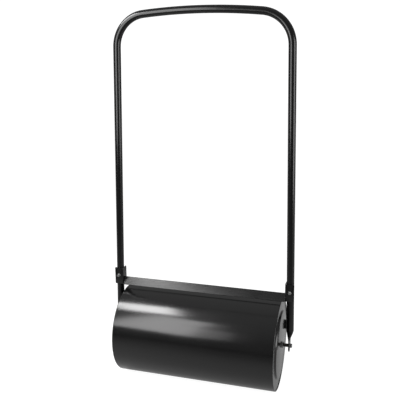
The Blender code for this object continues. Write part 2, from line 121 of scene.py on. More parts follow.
ROUND = 48
FINE = 192
GAP = 0.0003
SMOOTH = math.radians(32)
ALONG_X = Matrix.Rotation(math.pi / 2, 4, "Y")

# ---------------------------------------------------------------- stage, lights and camera

FLOOR_RADIUS = 14.0
FLOOR_ALBEDO = (0.22, 0.22, 0.22, 1.0)
FLOOR_GLOW = 0.95
SURROUND_WHITE = 1.1

# Brightness in reflections: (from, to, at the first, at the second). The floor's is painted light, a
# glow that runs along Y, and the room's goes by how far a direction leans to ROOM_BRIGHTENS.
FLOOR_FALL = (-0.75, -0.30, 0.02, 0.34)
ROOM_FALL = (0.30, 0.95, 0.22, 0.50)
ROOM_BRIGHTENS = (0.0, 0.10, 0.95)

# Each soft box: name, place, the point it faces, width, height, radiance.
SOFT_BOXES = [
    ("front_left_strip", (-0.77, -1.40, 1.53), (0.0, 0.0, 1.53), 0.76, 1.75, 6.6),
    ("front_fill", (-0.28, -1.45, 1.01), (-0.28, 0.0, 1.01), 0.40, 0.70, 1.9),
    ("upper_left_box", (-0.885, -0.47, 1.70), (-0.885, -0.469, 0.0), 0.62, 0.55, 20.0),
    ("right_box", (2.60, -0.80, 1.0), (0.0, 0.0, 1.0), 1.5, 1.6, 5.0),
]

CAMERA_PLACE = (0.542, -1.855, 1.128)
CAMERA_YAW = math.radians(16.46)
CAMERA_PITCH = math.radians(13.54)
CAMERA_ROLL = math.radians(-0.28)
CAMERA_LENS = 52.03
CAMERA_SENSOR = 36.0
CAMERA_REACH = 60.0

# ---------------------------------------------------------------- node helpers


def ranged(tree, value, fall):
    """A value taken from one range to another. The fall is (from min, from max, to min, to max)."""
    made = tree.nodes.new("ShaderNodeMapRange")
    for key, number in zip(("From Min", "From Max", "To Min", "To Max"), fall):
        made.inputs[key].default_value = number
    tree.links.new(value, made.inputs["Value"])
    return made.outputs["Result"]


class Finish:
    """A material under construction: a shader and the nodes that drive it, all in object space."""

    def __init__(self, name):
        self.material = bpy.data.materials.new(name)
        self.material.use_nodes = True
        self.tree = self.material.node_tree
        self.shader = self.tree.nodes["Principled BSDF"]
        self.place = self.node("ShaderNodeTexCoord").outputs["Object"]

    def node(self, kind, **values):
        made = self.tree.nodes.new(kind)
        for key, value in values.items():
            setattr(made, key, value)
        return made

    def link(self, source, target):
        self.tree.links.new(source, target)

    def stretched(self, scale):
        """Object coordinates scaled unevenly, for grain that runs one way."""
        mapping = self.node("ShaderNodeMapping")
        mapping.inputs["Scale"].default_value = scale
        self.link(self.place, mapping.inputs["Vector"])
        return mapping.outputs["Vector"]

    def noise(self, scale, detail=3.0, rough=0.5, place=None):
        made = self.node("ShaderNodeTexNoise")
        made.inputs["Scale"].default_value = scale
        made.inputs["Detail"].default_value = detail
        made.inputs["Roughness"].default_value = rough
        self.link(place or self.place, made.inputs["Vector"])
        return made.outputs["Fac"]

    def cells(self, scale):
        made = self.node("ShaderNodeTexVoronoi")
        made.inputs["Scale"].default_value = scale
        self.link(self.place, made.inputs["Vector"])
        return made.outputs["Distance"]

    def ranged(self, value, *fall):
        return ranged(self.tree, value, fall)

    def maths(self, operation, first, second):
        made = self.node("ShaderNodeMath", operation=operation)
        self.link(first, made.inputs[0])
        self.link(second, made.inputs[1])
        return made.outputs["Value"]

    def blend(self, factor, first, second):
        """A colour mix. Each colour is a tuple or a node's output."""
        made = self.node("ShaderNodeMix", data_type="RGBA")
        self.link(factor, made.inputs["Factor"])
        for socket, value in zip((made.inputs["A"], made.inputs["B"]), (first, second)):
            self.fill(socket, value)
        return made.outputs["Result"]

    def fill(self, socket, value):
        if isinstance(value, tuple):
            socket.default_value = value
        else:
            self.link(value, socket)

    def bump(self, height, distance, strength=1.0, below=None):
        made = self.node("ShaderNodeBump")
        made.inputs["Strength"].default_value = strength
        made.inputs["Distance"].default_value = distance
        self.link(height, made.inputs["Height"])
        if below is not None:
            self.link(below, made.inputs["Normal"])
        return made.outputs["Normal"]

    def edges(self, sharp=0.53, full=0.60):
        """A mask that is 1 on outer edges, broken up so that wear comes in spots."""
        shape = self.node("ShaderNodeNewGeometry").outputs["Pointiness"]
        edge = self.ranged(shape, sharp, full, 0.0, 1.0)
        spots = self.ranged(self.noise(scale=160.0, detail=5.0, rough=0.65), 0.50, 0.66, 0.0, 1.0)
        return self.maths("MULTIPLY", edge, spots)

    def done(self, colour, roughness, normal):
        self.link(colour, self.shader.inputs["Base Color"])
        self.link(roughness, self.shader.inputs["Roughness"])
        self.link(normal, self.shader.inputs["Normal"])
        return self.material


def grey(value):
    return (value, value, value * 1.02, 1.0)


# ---------------------------------------------------------------- materials


def black_paint(name, wave=0.0004, gloss=0.5):
    """Semi-gloss black enamel over steel: fine orange peel, long soft waves, faint scuffs and dust."""
    finish = Finish(name)
    cloud = finish.noise(scale=9.0, detail=4.0, rough=0.55)
    scuff = finish.noise(scale=55.0, detail=6.0, rough=0.7, place=finish.stretched((1.0, 1.0, 3.0)))
    tone = finish.blend(cloud, grey(0.0022), grey(0.0034))
    worn = finish.blend(finish.edges(sharp=0.56, full=0.66), tone, grey(0.014))
    dusty = finish.blend(finish.ranged(scuff, 0.66, 0.82, 0.0, 0.30), worn, grey(0.010))
    even = finish.ranged(cloud, 0.3, 0.7, 0.17, 0.21)
    rough = finish.maths("ADD", even, finish.ranged(scuff, 0.60, 0.80, 0.0, 0.05))
    waves = finish.bump(finish.noise(scale=7.0, detail=1.0), distance=wave)
    peel = finish.bump(finish.noise(scale=900.0, detail=2.0), distance=0.000006, strength=0.5, below=waves)
    finish.shader.inputs["Specular IOR Level"].default_value = gloss
    return finish.done(dusty, rough, peel)


def bright_zinc(name):
    """Zinc plate with its faint grain and a dull bloom in patches."""
    finish = Finish(name)
    grain = finish.noise(scale=420.0, detail=4.0, rough=0.6)
    bloom = finish.noise(scale=130.0)
    tone = finish.blend(bloom, (0.26, 0.265, 0.27, 1.0), (0.46, 0.46, 0.45, 1.0))
    dull = finish.blend(finish.ranged(grain, 0.55, 0.8, 0.0, 0.6), tone, (0.18, 0.18, 0.185, 1.0))
    finish.shader.inputs["Metallic"].default_value = 1.0
    rough = finish.ranged(bloom, 0.3, 0.7, 0.26, 0.42)
    return finish.done(dull, rough, finish.bump(grain, distance=0.00004, strength=0.5))


def turned_steel(name):
    """Blackened bar with fine rings from turning and a slight film of oil."""
    finish = Finish(name)
    rings = finish.noise(scale=1.0, detail=2.0, place=finish.stretched((2600.0, 12.0, 12.0)))
    film = finish.noise(scale=60.0, detail=4.0, rough=0.6)
    tone = finish.blend(film, (0.085, 0.083, 0.080, 1.0), (0.045, 0.042, 0.039, 1.0))
    finish.shader.inputs["Metallic"].default_value = 1.0
    rough = finish.ranged(film, 0.3, 0.7, 0.30, 0.46)
    return finish.done(tone, rough, finish.bump(rings, distance=0.00003, strength=0.6))


def black_rubber(name):
    """A matt seal with a fine grain and a pale bloom."""
    finish = Finish(name)
    grain = finish.noise(scale=1500.0, rough=0.6)
    bloom = finish.noise(scale=90.0)
    tone = finish.blend(bloom, grey(0.012), grey(0.024))
    rough = finish.ranged(grain, 0.3, 0.7, 0.68, 0.86)
    finish.shader.inputs["Specular IOR Level"].default_value = 0.3
    return finish.done(tone, rough, finish.bump(grain, distance=0.00006, strength=0.6))


def moulded_plastic(name):
    """Black moulding with a fine spark-eroded grain, rubbed paler on its edges."""
    finish = Finish(name)
    grain = finish.cells(1900.0)
    cloud = finish.noise(scale=70.0)
    tone = finish.blend(cloud, grey(0.006), grey(0.010))
    worn = finish.blend(finish.edges(), tone, grey(0.026))
    rough = finish.ranged(cloud, 0.3, 0.7, 0.36, 0.50)
    finish.shader.inputs["Specular IOR Level"].default_value = 0.4
    return finish.done(worn, rough, finish.bump(grain, distance=0.00005, strength=0.5))


PAINT = black_paint("black_enamel", gloss=0.40)
DRUM_PAINT = black_paint("drum_enamel", wave=0.0005)
ZINC = bright_zinc("zinc_plate")
STEEL = turned_steel("axle_steel")
RUBBER = black_rubber("black_rubber")
PLASTIC = moulded_plastic("black_plastic")

# ---------------------------------------------------------------- mesh helpers


def finish_mesh(mesh, name, angle=SMOOTH):
    """Turns a bmesh into mesh data that is smooth except where faces meet at more than an angle."""
    bmesh.ops.recalc_face_normals(mesh, faces=mesh.faces)
    data = bpy.data.meshes.new(name)
    mesh.to_mesh(data)
    mesh.free()
    data.shade_smooth()
    data.set_sharp_from_angle(angle=angle)
    return data


def add_rings(mesh, rings, closed=False):
    """Faces through rings of equally many points. The rings end in caps, or close into a loop."""
    rows = [[mesh.verts.new(point) for point in ring] for ring in rings]
    pairs = list(zip(rows, rows[1:]))
    if closed:
        pairs.append((rows[-1], rows[0]))
    for low, high in pairs:
        for i in range(len(low)):
            j = (i + 1) % len(low)
            mesh.faces.new((low[i], low[j], high[j], high[i]))
    if not closed:
        mesh.faces.new(list(reversed(rows[0])))
        mesh.faces.new(rows[-1])


def skin(name, rings, closed=False):
    mesh = bmesh.new()
    add_rings(mesh, rings, closed)
    return finish_mesh(mesh, name)


def circle(radius, height, count=ROUND):
    angles = [2 * math.pi * k / count for k in range(count)]
    return [Vector((radius * math.cos(a), radius * math.sin(a), height)) for a in angles]


def hexagon(flats, height):
    """Points on a hexagon, evenly many on each side, whose first point is a corner."""
    tips = circle(flats / 2 / math.cos(math.pi / 6), height, 6)
    each = ROUND // 6
    return [tips[k].lerp(tips[(k + 1) % 6], i / each) for k in range(6) for i in range(each)]


def turned_hexagon(flats, height, limit):
    """A hexagon whose corners are turned down to a largest radius."""
    return [point if point.xy.length < limit else Vector((*(point.xy.normalized() * limit), point.z))
            for point in hexagon(flats, height)]


def rounded(corners, steps=4):
    """A closed outline from (a, b, radius) corners, each replaced by an arc of that radius."""
    points = []
    count = len(corners)
    for i, (a, b, radius) in enumerate(corners):
        here = Vector((a, b))
        before = Vector(corners[i - 1][:2]) - here
        after = Vector(corners[(i + 1) % count][:2]) - here
        if radius <= 0:
            points.append((a, b))
            continue
        half = before.angle(after) / 2
        reach = radius / math.tan(half)
        centre = here + (before.normalized() + after.normalized()).normalized() * (radius / math.sin(half))
        first = here + before.normalized() * reach - centre
        last = here + after.normalized() * reach - centre
        turn = first.angle_signed(last)
        for k in range(steps + 1):
            angle = -turn * k / steps
            spot = centre + Matrix.Rotation(angle, 2) @ first
            points.append((spot.x, spot.y))
    return points


def lathe(name, outline, steps, matrix):
    """A closed outline of (radius, height) pairs turned about Z, then moved by a matrix. One that
    starts and ends on the axis makes a solid without a bore."""
    mesh = bmesh.new()
    rows = []
    for radius, height in outline:
        if radius == 0:
            rows.append([mesh.verts.new((0.0, 0.0, height))] * steps)
        else:
            rows.append([mesh.verts.new(point) for point in circle(radius, height, steps)])
    closed = outline[0][0] > 0
    pairs = list(zip(rows, rows[1:])) + ([(rows[-1], rows[0])] if closed else [])
    for low, high in pairs:
        for i in range(steps):
            j = (i + 1) % steps
            corners = list(dict.fromkeys((low[i], low[j], high[j], high[i])))
            if len(corners) > 2:
                mesh.faces.new(corners)
    mesh.transform(matrix)
    return finish_mesh(mesh, name)


def sweep_rings(path, radii, count):
    """Round sections along a path, kept from twisting."""
    rings = []
    side = None
    for i, point in enumerate(path):
        along = (path[min(i + 1, len(path) - 1)] - path[max(i - 1, 0)]).normalized()
        if side is None:
            side = along.orthogonal().normalized()
        side = (side - along * side.dot(along)).normalized()
        other = along.cross(side)
        ring = []
        for k in range(count):
            angle = 2 * math.pi * k / count
            ring.append(point + radii[i] * (math.cos(angle) * side + math.sin(angle) * other))
        rings.append(ring)
    return rings


def thread_rings(radius, depth, pitch, low, high, count=ROUND, per_pitch=8):
    """Sections of a screw thread about Z, fading out at both ends."""
    steps = max(2, round((high - low) / pitch * per_pitch))
    rings = []
    for i in range(steps + 1):
        height = low + (high - low) * i / steps
        fade = min(1.0, (height - low) / pitch, (high - height) / pitch)
        ring = []
        for k in range(count):
            phase = (height / pitch - k / count) % 1.0
            tooth = abs(2 * phase - 1)
            reach = radius - depth * (1 - tooth * fade)
            angle = 2 * math.pi * k / count
            ring.append(Vector((reach * math.cos(angle), reach * math.sin(angle), height)))
        rings.append(ring)
    return rings


def weld_data(name, path, size, ripple=0.0016, count=12):
    """A bead of weld along a path: a fat line whose thickness swells with each run of the torch."""
    length = 0.0
    radii = []
    for i, point in enumerate(path):
        if i:
            length += (point - path[i - 1]).length
        radii.append(size * (0.86 + 0.14 * abs(math.sin(math.pi * length / ripple))))
    return skin(name, sweep_rings(path, radii, count))


def facing(direction, location):
    """A matrix that turns local +Z to a direction and puts the origin at a place."""
    turn = Vector(direction).to_track_quat("Z", "Y").to_matrix().to_4x4()
    return Matrix.Translation(location) @ turn


# ---------------------------------------------------------------- piece helpers


def piece(name, data, body, slot, finish, *nodes, matrix=None):
    """A finished piece in the row frame. It rides on a body and stands for CAD nodes."""
    if matrix is not None:
        data.transform(matrix)
    item = bpy.data.objects.new(name, data)
    bpy.context.scene.collection.objects.link(item)
    data.materials.append(finish)
    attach(item, body)
    if nodes:
        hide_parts(*nodes)


def bored(data, drills):
    """The mesh with round holes cut through it. Each drill is (radius, start, end)."""
    item = bpy.data.objects.new("blank", data)
    bpy.context.scene.collection.objects.link(item)
    tools = []
    for radius, start, end in drills:
        start, end = Vector(start), Vector(end)
        rings = [circle(radius, 0.0, 32), circle(radius, (end - start).length, 32)]
        cutter = skin("drill", rings)
        cutter.transform(facing(end - start, start))
        tool = bpy.data.objects.new("drill", cutter)
        bpy.context.scene.collection.objects.link(tool)
        step = item.modifiers.new("bore", "BOOLEAN")
        step.operation = "DIFFERENCE"
        step.solver = "EXACT"
        step.object = tool
        tools.append(tool)
    graph = bpy.context.evaluated_depsgraph_get()
    made = bpy.data.meshes.new_from_object(item.evaluated_get(graph))
    made.materials.clear()
    for old in [item] + tools:
        bpy.data.objects.remove(old)
    made.shade_smooth()
    made.set_sharp_from_angle(angle=SMOOTH)
    return made


def softened(data, width=0.0):
    """The mesh with its sharp edges rounded over by a width, if any, and normals weighted by area,
    so that a wide face reflects as a flat one."""
    item = bpy.data.objects.new("blank", data)
    bpy.context.scene.collection.objects.link(item)
    if width:
        step = item.modifiers.new("round", "BEVEL")
        step.width = width
        step.segments = 2
        step.limit_method = "ANGLE"
        step.angle_limit = math.radians(40)
    else:
        data.set_sharp_from_angle(angle=math.radians(60))
    weigh = item.modifiers.new("weigh", "WEIGHTED_NORMAL")
    weigh.weight = 100
    weigh.keep_sharp = True
    graph = bpy.context.evaluated_depsgraph_get()
    made = bpy.data.meshes.new_from_object(item.evaluated_get(graph))
    bpy.data.objects.remove(item)
    return made


def joined(name, parts):
    """Several meshes as one, each kept as its own closed body."""
    mesh = bmesh.new()
    for data in parts:
        mesh.from_mesh(data)
    return finish_mesh(mesh, name)


# ---------------------------------------------------------------- drum


def make_drum_shell():
    """The rolled sheet, with its ends folded in as a hem."""
    face, back = DRUM_HALF, DRUM_HALF - LIP_DEPTH
    inner, lip = DRUM_RADIUS - SHEET, DRUM_RADIUS - LIP_WIDTH
    corners = [(inner, back, 0.0), (lip, back, 0.0008), (lip, face, 0.0012), (DRUM_RADIUS, face, 0.0021)]
    mirrored = [(radius, -height, turn) for radius, height, turn in reversed(corners)]
    data = lathe("drum_shell_fine", rounded(corners + mirrored, 5), FINE, Matrix.Translation(AXLE) @ ALONG_X)
    piece("drum_shell_fine", data, "drum", "black_paint", DRUM_PAINT, "drum_shell")


def make_drum_seam():
    """The lengthwise weld that closes the rolled sheet, ground nearly flush."""
    angle = math.radians(38)
    radius = DRUM_RADIUS - 0.0004
    y, z = radius * math.cos(angle), AXLE_HEIGHT + radius * math.sin(angle)
    reach, count = DRUM_HALF - 0.006, 500
    path = [Vector((reach * (2 * i / count - 1), y, z)) for i in range(count + 1)]
    data = weld_data("drum_seam_weld", path, 0.0010, 0.0030, 10)
    piece("drum_seam_weld", data, "drum", "black_paint", DRUM_PAINT)


def plate_outline(steps=12):
    """An end plate from its hub, over the raised middle and the step, to the end of its skirt."""
    skirt = DRUM_RADIUS - SHEET - GAP
    line = [Vector((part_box("centre_tube")[1].y + GAP, PLATE_MIDDLE_X))]
    for i in range(steps + 1):
        part = i / steps
        fall = (1 - math.cos(math.pi * part)) / 2
        radius = STEP_INNER + (STEP_OUTER - STEP_INNER) * part
        line.append(Vector((radius, PLATE_MIDDLE_X - (PLATE_MIDDLE_X - PLATE_RIM_X) * fall)))
    for i in range(steps):
        angle = math.pi / 2 * i / (steps - 1)
        radius = skirt - KNUCKLE + KNUCKLE * math.sin(angle)
        line.append(Vector((radius, PLATE_RIM_X - KNUCKLE + KNUCKLE * math.cos(angle))))
    line.append(Vector((skirt, SKIRT_END_X)))
    inside = []
    for i, point in enumerate(line):
        along = (line[min(i + 1, len(line) - 1)] - line[max(i - 1, 0)]).normalized()
        inside.append(point + SHEET * Vector((along.y, -along.x)))
    return line + inside[::-1]


def make_drum_ends():
    """Both end plates. The right one has a hole for the filler neck."""
    outline = [(point.x, point.y) for point in plate_outline()]
    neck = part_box("filler_neck")
    neck_middle = (neck[0] + neck[1]) / 2
    for name, side in SIDES.items():
        turned = [(radius, side * height) for radius, height in outline]
        data = lathe(f"drum_end_{name}_fine", turned, FINE, Matrix.Translation(AXLE) @ ALONG_X)
        if side > 0:
            reach = (neck[1].y - neck[0].y) / 2 + GAP
            start = (SKIRT_END_X, neck_middle.y, neck_middle.z)
            end = (DRUM_HALF + KNUCKLE, neck_middle.y, neck_middle.z)
            data = bored(data, [(reach, start, end)])
        piece(f"drum_end_{name}_fine", data, "drum", "black_paint", DRUM_PAINT, f"drum_end_{name}")


def weld_ring(name, centre, radius, size, count=180, sides=10, runs=14):
    """A bead of weld on the drum round a tube that runs along X."""
    rings = []
    for i in range(count):
        angle = 2 * math.pi * i / count
        out = Vector((0.0, math.cos(angle), math.sin(angle)))
        thick = size * (0.88 + 0.12 * abs(math.sin(i * math.pi * runs / count)))
        ring = []
        for k in range(sides):
            turn = 2 * math.pi * k / sides
            ring.append(centre + radius * out + thick * Vector((math.sin(turn), *(math.cos(turn) * out.yz))))
        rings.append(ring)
    piece(name, skin(name, rings, closed=True), "drum", "black_paint", DRUM_PAINT)


def make_centre_tube():
    """The tube that the axle runs in, welded to both end plates."""
    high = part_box("centre_tube")[1]
    outer = high.y
    half = [(CENTRE_TUBE_BORE, high.x, 0.0003), (outer, high.x, 0.0006)]
    mirrored = [(radius, -height, turn) for radius, height, turn in reversed(half)]
    data = lathe("centre_tube_fine", rounded(half + mirrored, 3), ROUND, Matrix.Translation(AXLE) @ ALONG_X)
    piece("centre_tube_fine", data, "drum", "black_paint", DRUM_PAINT, "centre_tube")
    for name, side in SIDES.items():
        centre = AXLE + Vector((side * (PLATE_MIDDLE_X - 0.0002), 0.0, 0.0))
        weld_ring(f"hub_weld_{name}", centre, outer + 0.0004, 0.0011)


# ---------------------------------------------------------------- filler


def make_filler():
    """The threaded neck welded into the right end plate, the seal on its mouth, and the plug."""
    low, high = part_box("filler_neck")
    centre = Vector((0.0, (low.y + high.y) / 2, (low.z + high.z) / 2))
    at = Matrix.Translation(centre) @ ALONG_X
    outer = (high.y - low.y) / 2
    bore = NECK_BORE
    corners = [(bore, low.x, 0.0003), (outer, low.x, 0.0004), (outer, high.x, 0.0006), (bore, high.x, 0.0004)]
    data = lathe("filler_neck_fine", rounded(corners, 3), ROUND, at)
    piece("filler_neck_fine", data, "drum", "black_paint", DRUM_PAINT, "filler_neck")
    weld_at = centre + Vector((PLATE_MIDDLE_X - 0.0003, 0.0, 0.0))
    weld_ring("filler_neck_weld", weld_at, outer + 0.0003, 0.0008)

    low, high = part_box("filler_seal")
    corners = [(bore, low.x, 0.0003), (outer, low.x, 0.0003), (outer, high.x, 0.0003), (bore, high.x, 0.0003)]
    data = lathe("filler_seal_fine", rounded(corners, 3), ROUND, at)
    piece("filler_seal_fine", data, "filler_seal", "black_rubber", RUBBER, "filler_seal")
    make_plug(at, high.x + GAP)


def make_plug(at, seat):
    """The screw plug: a threaded stem, a ribbed rim, and a finger bar across the dished head."""
    low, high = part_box("filler_plug")
    radius, top = (high.y - low.y) / 2, high.x
    profile = [(radius * 0.96, seat), (radius, seat + 0.0008), (radius, top - 0.0014)]
    profile += [(radius * 0.97, top - 0.0005), (radius * 0.90, top), (radius * 0.79, top)]
    profile += [(radius * 0.74, top - 0.0006), (radius * 0.68, top - 0.0030), (radius * 0.58, top - 0.0038)]
    rings = []
    for reach, height in profile:
        ring = []
        for k in range(FINE):
            angle = 2 * math.pi * k / FINE
            ribbed = reach > radius * 0.95
            dent = 0.0007 * (0.5 - 0.5 * math.cos(angle * PLUG_RIBS)) if ribbed else 0.0
            ring.append(Vector(((reach - dent) * math.cos(angle), (reach - dent) * math.sin(angle), height)))
        rings.append(ring)
    thread = thread_rings(PLUG_STEM, PLUG_THREAD_DEPTH, PLUG_PITCH, low.x, seat - 0.0002, FINE, 10)
    mesh = bmesh.new()
    add_rings(mesh, thread + [circle(PLUG_STEM, seat, FINE)] + rings)
    mesh.transform(at)
    head = finish_mesh(mesh, "filler_plug_fine", math.radians(40))
    section = rectangle(FINGER_BAR_HALF, radius * 0.66, 0.0012)
    bar = [[Vector((x, y, z)) for x, y in section] for z in (top - 0.0045, top - 0.0012)]
    grip = softened(skin("finger_bar", bar), 0.0007)
    grip.transform(at @ Matrix.Rotation(FINGER_BAR_TURN, 4, "Z"))
    data = joined("filler_plug_fine", [head, grip])
    piece("filler_plug_fine", data, "filler_plug", "black_plastic", PLASTIC, "filler_plug")


def rectangle(half_x, half_y, corner):
    """An upright rectangle about the origin, with rounded corners."""
    corners = [(-half_x, -half_y, corner), (half_x, -half_y, corner)]
    corners += [(half_x, half_y, corner), (-half_x, half_y, corner)]
    return rounded(corners, 4)


# ---------------------------------------------------------------- handle and legs


def leg_x(height):
    """Distance of a leg's centre line from the middle, at a height above the axle."""
    return LEG_HALF_SPACING - LEG_LEAN * height


def corner_centre():
    """Centre of the bend that touches both the leg's line and the crown's arc."""
    crown_low = CROWN_HEIGHT - CROWN_RADIUS
    reach = CROWN_RADIUS - CORNER_RADIUS
    inset = LEG_HALF_SPACING - CORNER_RADIUS * math.hypot(1.0, LEG_LEAN)
    square = 1 + LEG_LEAN**2
    half = inset * LEG_LEAN + crown_low
    height = (half + math.sqrt(half**2 - square * (inset**2 + crown_low**2 - reach**2))) / square
    return Vector((inset - LEG_LEAN * height, 0.0, height))


def handle_path(bend_points=28, crown_points=14):
    """The handle's centre line, from the left leg's end over the crown to the right leg's end."""
    centre = corner_centre()
    crown = Vector((0.0, 0.0, CROWN_HEIGHT - CROWN_RADIUS))
    start = math.atan(LEG_LEAN)
    meet = math.atan2(centre.z - crown.z, centre.x)
    low = SPLIT_HEIGHT + TUBE_RADIUS * LEG_LEAN
    right = [Vector((leg_x(low), 0.0, low))]
    for i in range(bend_points):
        angle = start + (meet - start) * i / (bend_points - 1)
        right.append(centre + CORNER_RADIUS * Vector((math.cos(angle), 0.0, math.sin(angle))))
    for i in range(1, crown_points):
        angle = meet + (math.pi / 2 - meet) * i / crown_points
        right.append(crown + CROWN_RADIUS * Vector((math.cos(angle), 0.0, math.sin(angle))))
    left = [Vector((-point.x, 0.0, point.z)) for point in right]
    top = Vector((0.0, 0.0, CROWN_HEIGHT))
    return [AXLE + point for point in left + [top] + right[::-1]]


def bolt_drill(side):
    """The cross hole for one bracket bolt, as a drill."""
    x, z = side * leg_x(BRACKET_BOLT_HEIGHT), AXLE_HEIGHT + BRACKET_BOLT_HEIGHT
    reach = 2.5 * TUBE_RADIUS
    return (M6[1], (x, -reach, z), (x, reach, z))


def make_handle():
    """The bent tube, hollow, with its cross holes."""
    path = handle_path()
    outer = sweep_rings(path, [TUBE_RADIUS] * len(path), ROUND)
    inner = sweep_rings(path, [TUBE_RADIUS - TUBE_WALL] * len(path), ROUND)
    data = skin("handle_tube", outer + inner[::-1], closed=True)
    data = bored(data, [bolt_drill(side) for side in SIDES.values()])
    piece("handle_tube", data, "handle_frame", "black_paint", PAINT, "handle_upper")


def oval(half_thickness, half_width, x, height):
    """A section with straight flanks and round ends, thin along X and wide along Y."""
    ring = []
    for k in range(ROUND):
        angle = 2 * math.pi * (k + 0.5) / ROUND
        across = half_thickness * math.cos(angle)
        push = math.copysign(half_width - half_thickness, math.sin(angle))
        ring.append(Vector((x + across, push + half_thickness * math.sin(angle), height)))
    return ring


def leg_section(radius, height):
    """A round section across a leg, at a height above the axle."""
    shift = Vector((leg_x(height), 0.0, height))
    return [Vector((radius * math.cos(a), radius * math.sin(a), 0.0)) + shift
            for a in (2 * math.pi * (k + 0.5) / ROUND for k in range(ROUND))]


def foot_sections(steps=12, first=math.radians(8)):
    """The rounded end of the flattened foot, and its change to the round tube."""
    rings = []
    for i in range(steps):
        angle = first + (math.pi / 2 - first) * i / (steps - 1)
        width = max(FOOT_HALF_WIDTH * math.sin(angle), FOOT_HALF_THICKNESS)
        rings.append(oval(FOOT_HALF_THICKNESS, width, FOOT_X, -FOOT_HALF_WIDTH * math.cos(angle)))
    for i in range(2 * steps + 1):
        part = i / (2 * steps)
        ease = part * part * (3 - 2 * part)
        thick = FOOT_HALF_THICKNESS + (TUBE_RADIUS - FOOT_HALF_THICKNESS) * ease
        wide = FOOT_HALF_WIDTH + (TUBE_RADIUS - FOOT_HALF_WIDTH) * ease
        x = FOOT_X + (leg_x(SQUASH_TOP) - FOOT_X) * ease
        rings.append(oval(thick, wide, x, FOOT_TOP + (SQUASH_TOP - FOOT_TOP) * part))
    return rings


def make_legs():
    """Each leg from its flattened foot up to the spigot that enters the handle, then down its bore."""
    top = SPLIT_HEIGHT - GAP
    bore, spigot_bore = TUBE_RADIUS - TUBE_WALL, SPIGOT_RADIUS - SPIGOT_WALL
    sections = [(TUBE_RADIUS - 0.0003, top), (SPIGOT_RADIUS, top + 0.00001)]
    sections += [(SPIGOT_RADIUS, top + SPIGOT_RISE)]
    sections += [(spigot_bore, top + SPIGOT_RISE), (spigot_bore, top - TUBE_WALL)]
    sections += [(bore, top - 2 * TUBE_WALL), (bore, CAVITY_FLOOR)]
    rings = foot_sections() + [leg_section(TUBE_RADIUS, top - 0.0003)]
    rings += [leg_section(radius, height) for radius, height in sections]
    for name, side in SIDES.items():
        own = [[Vector((side * p.x, p.y, p.z)) + AXLE for p in ring] for ring in rings]
        ends = [AXLE + Vector((side * (FOOT_X + reach), 0, 0)) for reach in (-0.01, 0.01)]
        data = bored(skin(f"leg_{name}_fine", own), [bolt_drill(side), (M8[1], *ends)])
        piece(f"leg_{name}_fine", data, "handle_frame", "black_paint", PAINT, f"leg_{name}")


# ---------------------------------------------------------------- brackets and scraper bar


def bracket_line(low, high):
    """The bracket's outer line in plan: along the flange, round the bend, along the front plate."""
    corner = Vector((low.x + BRACKET_BEND, low.y + BRACKET_BEND))
    line = []
    for i in range(6):
        angle = math.pi / 2 * i / 5
        y = high.y - BRACKET_ROUND * (1 - math.cos(angle))
        line.append((Vector((low.x, y)), Vector((-1.0, 0.0)), BRACKET_ROUND * (1 - math.sin(angle))))
    for i in range(9):
        angle = math.pi + math.pi / 2 * i / 8
        out = Vector((math.cos(angle), math.sin(angle)))
        line.append((corner + BRACKET_BEND * out, out, 0.0))
    for i in range(6):
        angle = math.pi / 2 * i / 5
        x = high.x - BRACKET_ROUND * (1 - math.sin(angle))
        line.append((Vector((x, low.y)), Vector((0.0, -1.0)), BRACKET_ROUND * (1 - math.cos(angle))))
    return line


def make_bracket(name, side):
    """A bent sheet: a flange that carries the bar, and a plate across the front of the leg."""
    low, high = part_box("bracket_right")
    rings = []
    for spot, out, inset in bracket_line(low, high):
        back = spot - out * BRACKET_SHEET
        bottom, top = low.z + inset, high.z - inset
        corners = [(spot, bottom), (spot, top), (back, top), (back, bottom)]
        rings.append([Vector((side * place.x, place.y, height)) for place, height in corners])
    data = softened(skin(f"bracket_{name}_fine", rings), 0.0005)
    data = bored(data, [bolt_drill(side)])
    piece(f"bracket_{name}_fine", data, "handle_frame", "black_paint", PAINT, f"bracket_{name}")


def bar_matrix():
    """Puts the bar's lower front corner in place and leans it back."""
    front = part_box("bracket_right")[0].y
    return Matrix.Translation((0.0, front, AXLE_HEIGHT + BAR_BOTTOM)) @ Matrix.Rotation(-BAR_TILT, 4, "X")


def make_scraper_bar():
    """A rolled flat bar with eased edges, welded between the bracket flanges."""
    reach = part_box("scraper_bar")[1].x
    corners = [(0.0, 0.0), (BAR_THICKNESS, 0.0), (BAR_THICKNESS, BAR_WIDTH), (0.0, BAR_WIDTH)]
    section = rounded([(y, z, BAR_EDGE) for y, z in corners], 5)
    stations = [-reach + 2 * reach * i / 24 for i in range(25)]
    rings = [[Vector((x, y, z)) for y, z in section] for x in stations]
    data = softened(skin("scraper_bar_fine", rings))
    place = bar_matrix()
    piece("scraper_bar_fine", data, "handle_frame", "black_paint", DRUM_PAINT, "scraper_bar", matrix=place)
    for name, side in SIDES.items():
        beads = []
        for y in (-0.0002, BAR_THICKNESS + 0.0002):
            path = [Vector((side * (reach - 0.0002), y, 0.0035 + 0.0005 * i)) for i in range(47)]
            beads.append(weld_data(f"bar_weld_{name}", path, 0.0013, 0.0021))
        data = joined(f"bar_weld_{name}", beads)
        piece(f"bar_weld_{name}", data, "handle_frame", "black_paint", PAINT, matrix=place)


# ---------------------------------------------------------------- fasteners


def hex_head(flats, height):
    """Rings up a hexagon head: washer face, flats, and a turned chamfer on top."""
    face = 0.0004
    rings = [circle(flats * 0.46, 0.0), circle(flats * 0.46, face)]
    rings += [hexagon(flats * 0.985, face), hexagon(flats, face + 0.0002), hexagon(flats, height * 0.80)]
    for part, reach in ((0.88, 1.045), (0.95, 1.005), (1.0, 0.955)):
        rings.append(turned_hexagon(flats, height * part, flats / 2 * reach))
    rings.append(circle(flats * 0.40, height))
    return rings


